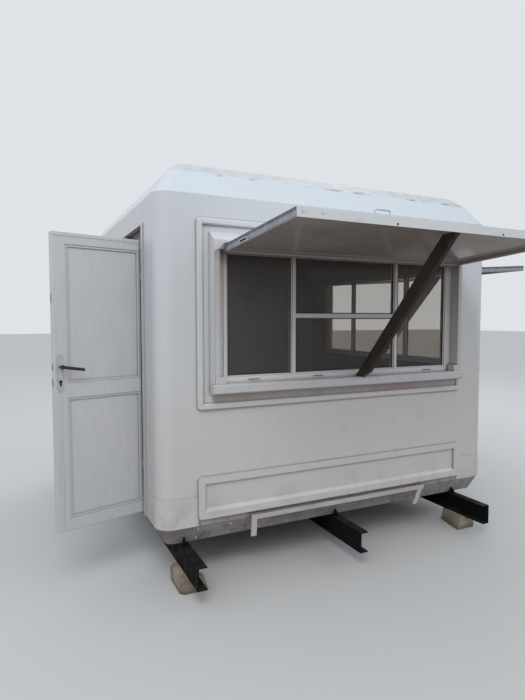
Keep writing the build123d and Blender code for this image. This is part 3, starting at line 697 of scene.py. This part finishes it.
# %% Boards under the flaps
FLAP_RISE = math.radians(3.8)
LIP_HIGH = 0.049
BOARD_DROP, BOARD_THICK, BOARD_GAP = 0.030, 0.004, 0.006
FOLD_WIDE, FOLD_DEEP = 0.05, 0.008
flap_low, flap_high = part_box("front_flap")
hinge_line = Vector((0, flap_high.y, flap_low.z + LIP_HIGH * math.cos(FLAP_RISE)))
flap_long = (flap_high.z - hinge_line.z) / math.sin(FLAP_RISE)
flap_front = hinge_line.y - flap_long
print("flap is", round(flap_long, 3), "deep, hinged at", [round(v, 3) for v in hinge_line])


def glossy_board():
    """Pinkish grey gloss paint, partly darkened as painted shade, with marks where a cloth wiped
    it.
    """
    finish = Finish("flap_board_paint")
    # Painted shade: the board is set darker than the paint, for the shade under the flap.
    patches = finish.cloud(1.3, 3, 0.35, 0.65)
    finish.colour = finish.mix(patches, (0.30, 0.27, 0.265), (0.37, 0.335, 0.325))
    marks = finish.cloud(9, 5, 0.52, 0.74, 0.35, stretch=(1, 0.12, 1))
    finish.lay(marks, (0.24, 0.205, 0.195))
    wiped = finish.step(finish.noise(3, 4, warp=1.0), 0.3, 0.7, 0.12, 0.24)
    return finish.done(wiped, finish.bump(finish.noise(2.5, 2), 0.15, 0.004))


def push(way):
    """Extrude the picked faces along one way."""
    bpy.ops.mesh.extrude_region_move(TRANSFORM_OT_translate={"value": tuple(way)})


def fit_flap(piece, name):
    """Tip a level piece up to the slope of the flap, and fit it on both sides."""
    fit_both(turned(piece, -FLAP_RISE, "X", hinge_line), name)


flap_board_paint = glossy_board()
board_z = hinge_line.z - BOARD_DROP
fold_line = hinge_line.y - FOLD_WIDE
board = block("board", (flap_low.x + BOARD_GAP, hinge_line.y - BOARD_GAP, board_z),
              (flap_high.x - BOARD_GAP, flap_front + BOARD_GAP, board_z + BOARD_THICK))
with faces(board, everywhere):
    bpy.ops.mesh.bisect(plane_co=(0, fold_line, 0), plane_no=(0, 1, 0))
with faces(board, lambda middle, normal: normal.z < -0.9 and middle.y > fold_line):
    push((0, 0, -FOLD_DEEP))
soften(board, 0.0015)
board.data.materials.append(flap_board_paint)
fit_flap(board, "flap_board")

# %% [markdown]
# ## Edges of the flap
# Along each side a dark strip covers the upper part of the lip and a paler one its lower part, and
# a bracket closes the corner at the hinge, dark as painted shade of the hinge gap. The front lip
# carries two black screws near its lower edge and three painted rivets, and the left side has a
# slotted plate for a latch. Places run along the shell from its left corner, or down from the hinge
# line.


# %% Strips, brackets, screws and latch plate
TO_FRONT, TO_LEFT = (0, -1, 0), (-1, 0, 0)
STRIP_TOP, STRIP_FOOT, LIP_FOOT, STRIP_THICK = 0.001, 0.019, 0.047, 0.002
BRACKET_LONG, BRACKET_DROP, BRACKET_UP, BRACKET_THICK = 0.045, 0.062, 0.006, 0.006
SCREW_PLACES, SCREW_DROP = (1.000, 1.765), 0.038
RIVET_PLACES, RIVET_DROP = (0.446, 0.555, 2.21), 0.020
LATCH_OUT, LATCH_ALONG, LATCH_DROP = 0.0037, 0.285, 0.033
LATCH_SIZE = (0.003, 0.105, 0.024)


def dark_steel(name, first, second, roughness=0.5):
    """Two close tones in fine patches, with an even gloss."""
    finish = Finish(name, roughness)
    finish.colour = finish.mix(finish.cloud(26, 5, 0.35, 0.7), first, second)
    return finish.done(normal=finish.bump(finish.noise(90, 4), 0.3, 0.001))


strip_paint = dark_steel("strip_paint", (0.085, 0.095, 0.125), (0.15, 0.155, 0.18))
lip_paint = dark_steel("lip_paint", (0.24, 0.245, 0.275), (0.33, 0.335, 0.36))
# Painted shade in the slots, and the real black of the screws and the lock.
slot_dark = dark_steel("slot_dark", (0.012, 0.011, 0.011), (0.03, 0.027, 0.025), 0.8)
rivet_paint = dark_steel("rivet_paint", (0.50, 0.51, 0.53), (0.62, 0.62, 0.62), 0.4)


def slotted_plate(name, middle, size, way, rim, deep, plate_finish):
    """A thin plate with a slot pressed into the face that looks one way, painted near black as
    shade.
    """
    half = Vector(size) / 2
    plate = block(name, Vector(middle) - half, Vector(middle) + half)
    plate.data.materials.append(plate_finish)
    plate.data.materials.append(slot_dark)
    with faces(plate, looks(way)):
        bpy.ops.mesh.inset(thickness=rim)
        push(-deep * Vector(way))
        # Painted shade: the shallow slot is painted near black.
        plate.active_material_index = 1
        bpy.ops.object.material_slot_assign()
    return plate


def side_strip(x, outward, foot, top, paint):
    """A strip along one side of the flap, between two drops below the hinge line."""
    strip = block("strip", (x, hinge_line.y - 0.01, hinge_line.z - foot),
                  (x + STRIP_THICK * outward, flap_front + 0.002, hinge_line.z - top))
    with faces(strip, looks((outward, 0, 0))):
        bpy.ops.mesh.inset(thickness=0.003, depth=0.0006)
    strip.data.materials.append(paint)
    return strip


def corner_bracket(x, outward):
    """A plate over the hinge corner, less than half as high at its front, dark as painted shade."""
    top = hinge_line.z + BRACKET_UP
    bracket = block("bracket", (x, hinge_line.y - BRACKET_LONG, hinge_line.z - BRACKET_DROP),
                    (x + BRACKET_THICK * outward, hinge_line.y + 0.008, top))
    with faces(bracket, looks(TO_FRONT)):
        bpy.ops.transform.resize(value=(1, 1, 0.45), center_override=(x, 0, top))
    soften(bracket, 0.0015)
    # Painted shade: the plate takes the dark strip paint for the shade in the hinge gap.
    bracket.data.materials.append(strip_paint)
    return bracket


def lip_stud(name, along, drop, radius, thick):
    """A stud on the front of the lip."""
    middle = (shell_low.x + along, flap_front - thick / 2, hinge_line.z - drop)
    return stud(name, middle, radius, thick, TO_FRONT)


edges = [corner_bracket(flap_low.x, -1), corner_bracket(flap_high.x, 1)]
for x, outward in ((flap_low.x, -1), (flap_high.x, 1)):
    edges.append(side_strip(x, outward, STRIP_FOOT, STRIP_TOP, strip_paint))
    edges.append(side_strip(x, outward, LIP_FOOT, STRIP_FOOT, lip_paint))
fit_flap(joined("edges", edges), "flap_edge_strips")

screws = []
for along in SCREW_PLACES:
    screw = lip_stud("screw", along, SCREW_DROP, radius=0.0048, thick=0.003)
    with faces(screw, looks(TO_FRONT)):
        bpy.ops.mesh.inset(thickness=0.0016)
        bpy.ops.transform.translate(value=(0, 0.001, 0))
    screws.append(screw)
lip_screws = joined("screws", screws)
lip_screws.data.materials.append(slot_dark)
fit_flap(lip_screws, "flap_screws")

rivets = []
for along in RIVET_PLACES:
    rivet = lip_stud("rivet", along, RIVET_DROP, radius=0.007, thick=0.0024)
    with faces(rivet, looks(TO_FRONT)):
        bpy.ops.mesh.bevel(offset=0.0018, segments=3)
    rivets.append(rivet)
lip_rivets = joined("rivets", rivets)
lip_rivets.data.materials.append(rivet_paint)
fit_flap(lip_rivets, "flap_rivets")

latch_middle = (flap_low.x - LATCH_OUT, hinge_line.y - LATCH_ALONG, hinge_line.z - LATCH_DROP)
latch = slotted_plate("latch", latch_middle, LATCH_SIZE, TO_LEFT, 0.005, 0.0020, rivet_paint)
fit_flap(latch, "flap_latch_plate")

# %% [markdown]
# ## Rubber round the panes
# Each pane sits in a rebate of the sash with a strip of rubber in front of it. A strip is a plane
# at the size of the pane: its face is inset, the middle is taken out, and Solidify gives the rest
# its thickness.

# %% Glazing rubber
MULLION_OFF, MULLION_HALF = 0.437, 0.019
DIVIDER_UP, DIVIDER_HALF = 0.387, 0.015
RUBBER_W, RUBBER_T = 0.007, 0.006
glass_low, glass_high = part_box("front_glass")
left_bar, right_bar = shell_mid.x - MULLION_OFF, shell_mid.x + MULLION_OFF
divider = glass_low.z + DIVIDER_UP
bays = (
    (glass_low.x, left_bar - MULLION_HALF, glass_low.z, glass_high.z),
    (right_bar + MULLION_HALF, glass_high.x, glass_low.z, glass_high.z),
    (left_bar + MULLION_HALF, right_bar - MULLION_HALF, glass_low.z, divider - DIVIDER_HALF),
    (left_bar + MULLION_HALF, right_bar - MULLION_HALF, divider + DIVIDER_HALF, glass_high.z),
)


def rubber_strip(left, right, low, high):
    """A rubber frame round one pane."""
    middle = ((left + right) / 2, glass_low.y - 0.0005, (low + high) / 2)
    strip = start(bpy.ops.mesh.primitive_plane_add, "rubber", size=1, location=middle,
                  rotation=(math.radians(90), 0, 0))
    with faces(strip, everywhere):
        bpy.ops.transform.resize(value=(right - left, 1, high - low), center_override=middle)
        bpy.ops.mesh.inset(thickness=RUBBER_W)
        bpy.ops.mesh.delete(type="FACE")
    only(strip)
    wall = strip.modifiers.new("wall", "SOLIDIFY")
    wall.thickness = RUBBER_T
    wall.offset = 1
    bpy.ops.object.modifier_apply(modifier=wall.name)
    return strip


rubber = joined("rubber", [rubber_strip(*bay) for bay in bays])
rubber_black = dark_steel("glazing_rubber", (0.03, 0.027, 0.026), (0.06, 0.055, 0.052), 0.7)
rubber.data.materials.append(rubber_black)
fit_both(rubber, "glazing_rubber")

# %% [markdown]
# ## Slots in the sash and in the base rail
# Rain that runs down the panes leaves through three slots in the bottom rail of the sash, and four
# slots in the top of the base rail let out what gathers there. Each is a thin plate with a shallow
# slot pressed in, because the structure's own pieces keep their shape; the slot is painted near
# black as painted shade inside the opening.


# %% Drain slots in the sash, slots in the base rail
DRAIN_PLACES, DRAIN_SIZE, DRAIN_UP = (0.645, 1.140, 2.130), (0.085, 0.0034, 0.011), 0.017
SLOT_PLACES, SLOT_SIZE, SLOT_IN = (1.40, 1.62, 1.83, 2.0), (0.055, 0.016, 0.001), 0.022


def slot_row(name, places, across, up, *plate):
    """Slotted plates in a row along the front."""
    return joined(name, [slotted_plate("slot", (shell_low.x + along, across, up), *plate)
                         for along in places])


sash_low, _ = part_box("front_sash")
drains = slot_row("drains", DRAIN_PLACES, sash_low.y - 0.0012, sash_low.z + DRAIN_UP,
                  DRAIN_SIZE, TO_FRONT, 0.0028, 0.0016, lit_sash_paint)
fit_both(drains, "drain_slots")

rail_low, rail_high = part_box("front_base_rail")
rail_slots = slot_row("rail_slots", SLOT_PLACES, rail_low.y + SLOT_IN, rail_high.z + 0.0005,
                      SLOT_SIZE, (0, 0, 1), 0.0025, 0.0006, rail_paint)
fit(rail_slots, "kiosk")

# %% [markdown]
# ## Rivets of the base band
# Pairs of dome rivets hold the folded band to the floor frame. One pair is made from two studs with
# bevelled heads, square to the leaning sheet, an Array sets eleven pairs in a row, and each side of
# the kiosk gets a copy.

# %% Band rivets
BAND_LEAN, BAND_HIGH = 0.060, 0.115
RIVET_FIRST, RIVET_LAST, RIVET_PAIRS = 0.256, 2.486, 11
RIVET_RADIUS, RIVET_THICK = 0.0065, 0.0036
lean_angle = math.atan2(BAND_LEAN, BAND_HIGH)
band_way = Vector((0, -math.cos(lean_angle), -math.sin(lean_angle)))
pair = []
for down, aside in ((0.24, 0.0), (0.82, -0.004)):
    foot = Vector((shell_low.x + RIVET_FIRST + aside, shell_low.y + BAND_LEAN * down,
                   shell_low.z - BAND_HIGH * down))
    rivet = stud("rivet", foot + band_way * RIVET_THICK / 2, RIVET_RADIUS, RIVET_THICK, band_way,
                 12)
    with faces(rivet, looks(band_way)):
        bpy.ops.mesh.bevel(offset=0.0026, segments=2)
    pair.append(rivet)
front_rivets = joined("front_band_rivets", pair)
only(front_rivets)
row = front_rivets.modifiers.new("row", "ARRAY")
row.count = RIVET_PAIRS
row.use_relative_offset, row.use_constant_offset = False, True
row.constant_offset_displace = ((RIVET_LAST - RIVET_FIRST) / (RIVET_PAIRS - 1), 0, 0)
bpy.ops.object.modifier_apply(modifier=row.name)
front_rivets.data.materials.append(rivet_paint)
for side, quarter in (("right", 1), ("rear", 2), ("left", 3)):
    side_rivets = copied(front_rivets, side + "_band_rivets")
    fit(turned(side_rivets, math.radians(90 * quarter), "Z", shell_mid), "kiosk")
fit(front_rivets, "kiosk")

# %% [markdown]
# ## Gussets on the skids
# Where a skid runs out from under the kiosk, a plate stands on it and is welded to the band. It is
# a block with its outer corner cut off by two bisections, as with a saw.


# %% Skid gussets
GUSSET_HALF, GUSSET_LONG, GUSSET_HIGH = 0.004, 0.055, 0.075


def saw(piece, point, way):
    """Cut away what lies past a plane, and close the cut."""
    with faces(piece, everywhere):
        bpy.ops.mesh.bisect(plane_co=point, plane_no=way, use_fill=True, clear_outer=True)


gussets = []
near = shell_low.y + BAND_LEAN
for skid in ("skid_left", "skid_middle", "skid_right"):
    skid_low, skid_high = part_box(skid)
    middle = (skid_low.x + skid_high.x) / 2
    top = skid_high.z
    gusset = block("gusset", (middle - GUSSET_HALF, near - GUSSET_LONG, top - 0.001),
                   (middle + GUSSET_HALF, near + 0.012, top + GUSSET_HIGH))
    saw(gusset, (middle, near - 0.030, top + GUSSET_HIGH), (0, -1, 0.75))
    saw(gusset, (middle, near - GUSSET_LONG, top + 0.028), (0, -0.55, 1.0))
    soften(gusset, 0.0012)
    gussets.append(gusset)
front_gussets = joined("front_gussets", gussets)
front_gussets.data.materials.append(skid_paint)
rear_gussets = copied(front_gussets, "rear_gussets")
only(rear_gussets)
bpy.ops.transform.mirror(constraint_axis=(False, True, False), center_override=shell_mid)
bpy.ops.object.transform_apply()
with faces(rear_gussets, everywhere):
    bpy.ops.mesh.normals_make_consistent(inside=False)
for gusset in (front_gussets, rear_gussets):
    fit(gusset, "kiosk")

# %% [markdown]
# ## Lock, edge plates and screws of the door
# The door is drawn as if it were shut, with its free edge towards the back, and then everything is
# swung out about the hinge by the angle at which the door stands. That way each size is read
# straight off the leaf.

# %% Door hardware
DOOR_OPEN = math.radians(105)
PIVOT_OUT, LEAF_W, LEAF_T, EDGE_GAP = 0.0065, 0.569, 0.040, 0.006
LEVER_IN, LEVER_UP, PLATE_T = 0.038, 1.008, 0.003
PLATE_DROP, PLATE_HIGH, SCREW_IN = 0.039, 0.222, 0.014
KEY_DROP, KEY_RADIUS, KEY_THICK = 0.093, 0.0085, 0.004
joints = {joint["name"]: joint for joint in frame["record"]["behaviour"]["joints"]}
pivot = Vector(joints["door_hinge"]["pos_m"])
leaf_face = pivot.x + PIVOT_OUT
free_edge = pivot.y + EDGE_GAP + LEAF_W
lever_z = pivot.z + LEVER_UP
lever_y = free_edge - LEVER_IN
key_z = lever_z - KEY_DROP
plate_foot = lever_z - PLATE_DROP - PLATE_HIGH / 2
edge_plates = ((lever_z - 0.022, lever_z + 0.022), (lever_z - 0.120, lever_z - 0.070),
               (pivot.z + 1.385, pivot.z + 1.445))


def lock_cylinder(face, outward):
    """A black barrel over a narrower neck, standing a little out of its plate."""
    barrel = stud("lock", (face + KEY_THICK / 2 * outward, lever_y, key_z + 0.004), KEY_RADIUS,
                  KEY_THICK, (outward, 0, 0), 20)
    with faces(barrel, lambda middle, normal: normal.z < -0.8):
        push((0, 0, -0.017))
        bpy.ops.transform.resize(value=(1, 0.9, 0.15),
                                 center_override=(face, lever_y, key_z - 0.0225))
    soften(barrel, 0.0006)
    barrel.data.materials.append(slot_dark)
    return barrel


def plate_screw(face, outward, up):
    """A small screw with a dished head."""
    screw = stud("plate_screw", (face + 0.0008 * outward, lever_y, up), 0.004, 0.0016,
                 (outward, 0, 0), 12)
    with faces(screw, looks((outward, 0, 0))):
        bpy.ops.mesh.inset(thickness=0.0015, depth=-0.0006)
    screw.data.materials.append(hinge_steel)
    return screw


def edge_plate(low, high):
    """A steel plate on the free edge of the leaf, with the slot of its bolt."""
    middle = (leaf_face + LEAF_T / 2, free_edge + 0.0006, (low + high) / 2)
    return slotted_plate("edge_plate", middle, (0.022, 0.0012, high - low), (0, 1, 0), 0.006,
                         0.0008, hinge_steel)


door_things = []
for face, outward in ((leaf_face - PLATE_T, -1), (leaf_face + LEAF_T + PLATE_T, 1)):
    door_things.append(lock_cylinder(face, outward))
    for up in (SCREW_IN, PLATE_HIGH - SCREW_IN):
        door_things.append(plate_screw(face, outward, plate_foot + up))
door_things += [edge_plate(low, high) for low, high in edge_plates]
fit(turned(joined("door_lock_parts", door_things), DOOR_OPEN, "Z", pivot), "door")

# %% [markdown]
# ## Trim of the door
# The leaf is built up from drawn bars. A cap bar runs along its top, and a slim raised bar runs
# down the lock stile from the lock to the foot; both show as thin lines. Each is a block whose
# outer face is inset and pulled out a little, so that its sloping shoulders catch the light.

# %% Cap bar and stile bar
LEAF_HIGH, CAP_HIGH = 1.808, 0.024
STILE_HALF, STILE_FOOT = 0.007, 0.030
TRIM_FOOT, TRIM_OUT = 0.0008, 0.0022


def trim_bar(name, first, second):
    """A flat bar on the outer face of the leaf, between two corners given as run and height."""
    bar = block(name, (leaf_face - TRIM_FOOT, pivot.y + EDGE_GAP + first[0], pivot.z + first[1]),
                (leaf_face, pivot.y + EDGE_GAP + second[0], pivot.z + second[1]))
    with faces(bar, looks(TO_LEFT)):
        bpy.ops.mesh.inset(thickness=0.0016)
        bpy.ops.transform.translate(value=(TRIM_FOOT - TRIM_OUT, 0, 0))
    return bar


stile_mid = LEAF_W - LEVER_IN
stile_top = plate_foot - pivot.z - 0.004
door_trim = joined("door_trim", [
    trim_bar("cap", (0.002, LEAF_HIGH - CAP_HIGH), (LEAF_W - 0.002, LEAF_HIGH - 0.002)),
    trim_bar("stile", (stile_mid - STILE_HALF, STILE_FOOT), (stile_mid + STILE_HALF, stile_top))])
door_trim.data.materials.append(door_paint)
fit(turned(door_trim, DOOR_OPEN, "Z", pivot), "door")

# %% [markdown]
# ## Gasket at the hinges
# Between the hinges a grey gasket closes the gap that the knuckles leave. It stands on the frame,
# close round the line on which the door turns, so the leaf never reaches it. Each run starts as a
# block, its outer side is narrowed to a nose, and the edges are rounded.

# %% Hinge gasket
HINGE_UPS, HINGE_HIGH = (0.260, 1.500), 0.0905
END_GAP, KNUCKLE_GAP = 0.004, 0.003
GASKET_BACK, GASKET_NOSE = (0.0060, -0.0055), (-0.0055, 0.0040)
low_ends = [END_GAP] + [up + HINGE_HIGH + KNUCKLE_GAP for up in HINGE_UPS]
high_ends = [up - KNUCKLE_GAP for up in HINGE_UPS] + [LEAF_HIGH - END_GAP]
gasket_runs = []
for low_end, high_end in zip(low_ends, high_ends):
    run = block("run", pivot + Vector((*GASKET_BACK, low_end)),
                pivot + Vector((*GASKET_NOSE, high_end)))
    with faces(run, looks(TO_LEFT)):
        bpy.ops.transform.resize(value=(1, 0.6, 1), center_override=pivot + Vector((0, -0.001, 0)))
    soften(run, 0.0008)
    gasket_runs.append(run)
gasket = joined("hinge_gasket", gasket_runs)
gasket_grey = dark_steel("gasket_grey", (0.48, 0.485, 0.50), (0.56, 0.565, 0.58), 0.7)
gasket.data.materials.append(gasket_grey)
fit(gasket, "kiosk")

# %% [markdown]
# ## Rough stones under the skids
# Each outer skid rests on two lumps of yellow limestone. A sawn block would look wrong, so each
# stone starts as a block, loses its corners to a handful of slanted cuts, is subdivided, and has
# its points pushed about a little. Its side towards the middle of the kiosk is cut back further.
# The cuts are drawn from a fixed seed, so the stones never change.


# %% Stones
SIDE_IN, INNER_CUT = 0.006, 0.110
ROUGH = 0.004


def rough_stone(node, seed):
    """A lump cut out of the box of one ground block."""
    low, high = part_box(node)
    inner = Vector((SIDE_IN, SIDE_IN, 0.0))
    stone = block("rough_" + node, low + inner, high - inner)
    chance = random.Random(seed)
    middle = (low + high) / 2
    half = (high - low) / 2
    for sx in (-1, 1):
        for sy in (-1, 1):
            for tilt in (0.55, -0.35):
                way = Vector((sx * chance.uniform(0.5, 1.3), sy * chance.uniform(0.5, 1.3), tilt))
                reach = chance.uniform(0.84, 0.93)
                up = math.copysign(half.z * 0.9, tilt)
                saw(stone, middle + Vector((sx * half.x * reach, sy * half.y * reach, up)), way)
    with faces(stone, everywhere):
        bpy.ops.mesh.quads_convert_to_tris()
        bpy.ops.mesh.subdivide(number_cuts=3)
        bpy.ops.transform.vertex_random(offset=ROUGH, normal=0.0, seed=seed)
    inward = -math.copysign(1, middle.x - shell_mid.x)
    inner_side = middle.x + inward * (half.x - INNER_CUT)
    saw(stone, (0, 0, low.z), (0, 0, -1))
    saw(stone, (0, 0, high.z), (0, 0, 1))
    saw(stone, (inner_side, middle.y, high.z), (inward, 0.25, 0.3))
    stone.data.materials.append(limestone)
    fit(stone, "kiosk")
    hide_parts(node)


for seed, place in enumerate(("front_left", "front_right", "rear_left", "rear_right"), 3):
    rough_stone("block_" + place, seed)

# %% [markdown]
# ## Floor and light
# The kiosk stands under an open evening sky: much light from above, little from below. A pale sky
# and two soft lamps, high in front and high behind, give that. The floor looks pale to the camera,
# but throws back only the warm dim light of bare soil, so that undersides stay dark.

# %% Stage
FLOOR_WIDE, FLOOR_DROP = 120, 0.0005
SKY_TINT, SKY_STRENGTH = (0.90, 0.95, 1.0, 1), 1.05
BACKDROP_TINT = (0.74, 0.77, 0.80, 1)
LAMPS = {"key_lamp": ((-4, -6, 8), 4, 260, (1.0, 0.985, 0.96)),
         "back_lamp": ((5, 6, 8), 5, 200, (0.96, 0.98, 1.0))}
bpy.ops.object.select_all(action="DESELECT")
bpy.ops.mesh.primitive_plane_add(size=FLOOR_WIDE, location=(0, 0, -FLOOR_DROP))
studio_floor = bpy.context.object
studio_floor.name = "studio_floor"
soil = Finish("studio_floor", 0.9)
seen = soil.add("ShaderNodeLightPath").outputs["Is Camera Ray"]
soil.colour = soil.mix(seen, (0.27, 0.235, 0.21), (0.50, 0.50, 0.50))
studio_floor.data.materials.append(soil.done())

world = bpy.data.worlds.new("studio_sky")
bpy.context.scene.world = world
world.use_nodes = True
sky_nodes, sky_links = world.node_tree.nodes, world.node_tree.links
sky = sky_nodes["Background"]
sky.inputs["Color"].default_value = SKY_TINT
sky.inputs["Strength"].default_value = SKY_STRENGTH
backdrop = sky_nodes.new("ShaderNodeBackground")
backdrop.inputs["Color"].default_value = BACKDROP_TINT
path = sky_nodes.new("ShaderNodeLightPath")
seen = path.outputs["Is Camera Ray"]
for kind in ("Is Glossy Ray", "Is Transmission Ray"):
    either = sky_nodes.new("ShaderNodeMath")
    either.operation = "MAXIMUM"
    sky_links.new(seen, either.inputs[0])
    sky_links.new(path.outputs[kind], either.inputs[1])
    seen = either.outputs[0]
choose = sky_nodes.new("ShaderNodeMixShader")
for place, source in enumerate((seen, sky.outputs[0], backdrop.outputs[0])):
    sky_links.new(source, choose.inputs[place])
sky_links.new(choose.outputs[0], sky_nodes["World Output"].inputs["Surface"])

for name, (place, wide, power, tint) in LAMPS.items():
    light = bpy.data.lights.new(name, "AREA")
    light.size, light.energy, light.color = wide, power, tint
    lamp = bpy.data.objects.new(name, light)
    lamp.location = place
    lamp.rotation_euler = (shell_mid - Vector(place)).to_track_quat("-Z", "Y").to_euler()
    bpy.context.scene.collection.objects.link(lamp)
bpy.context.scene.view_settings.view_transform = "Standard"
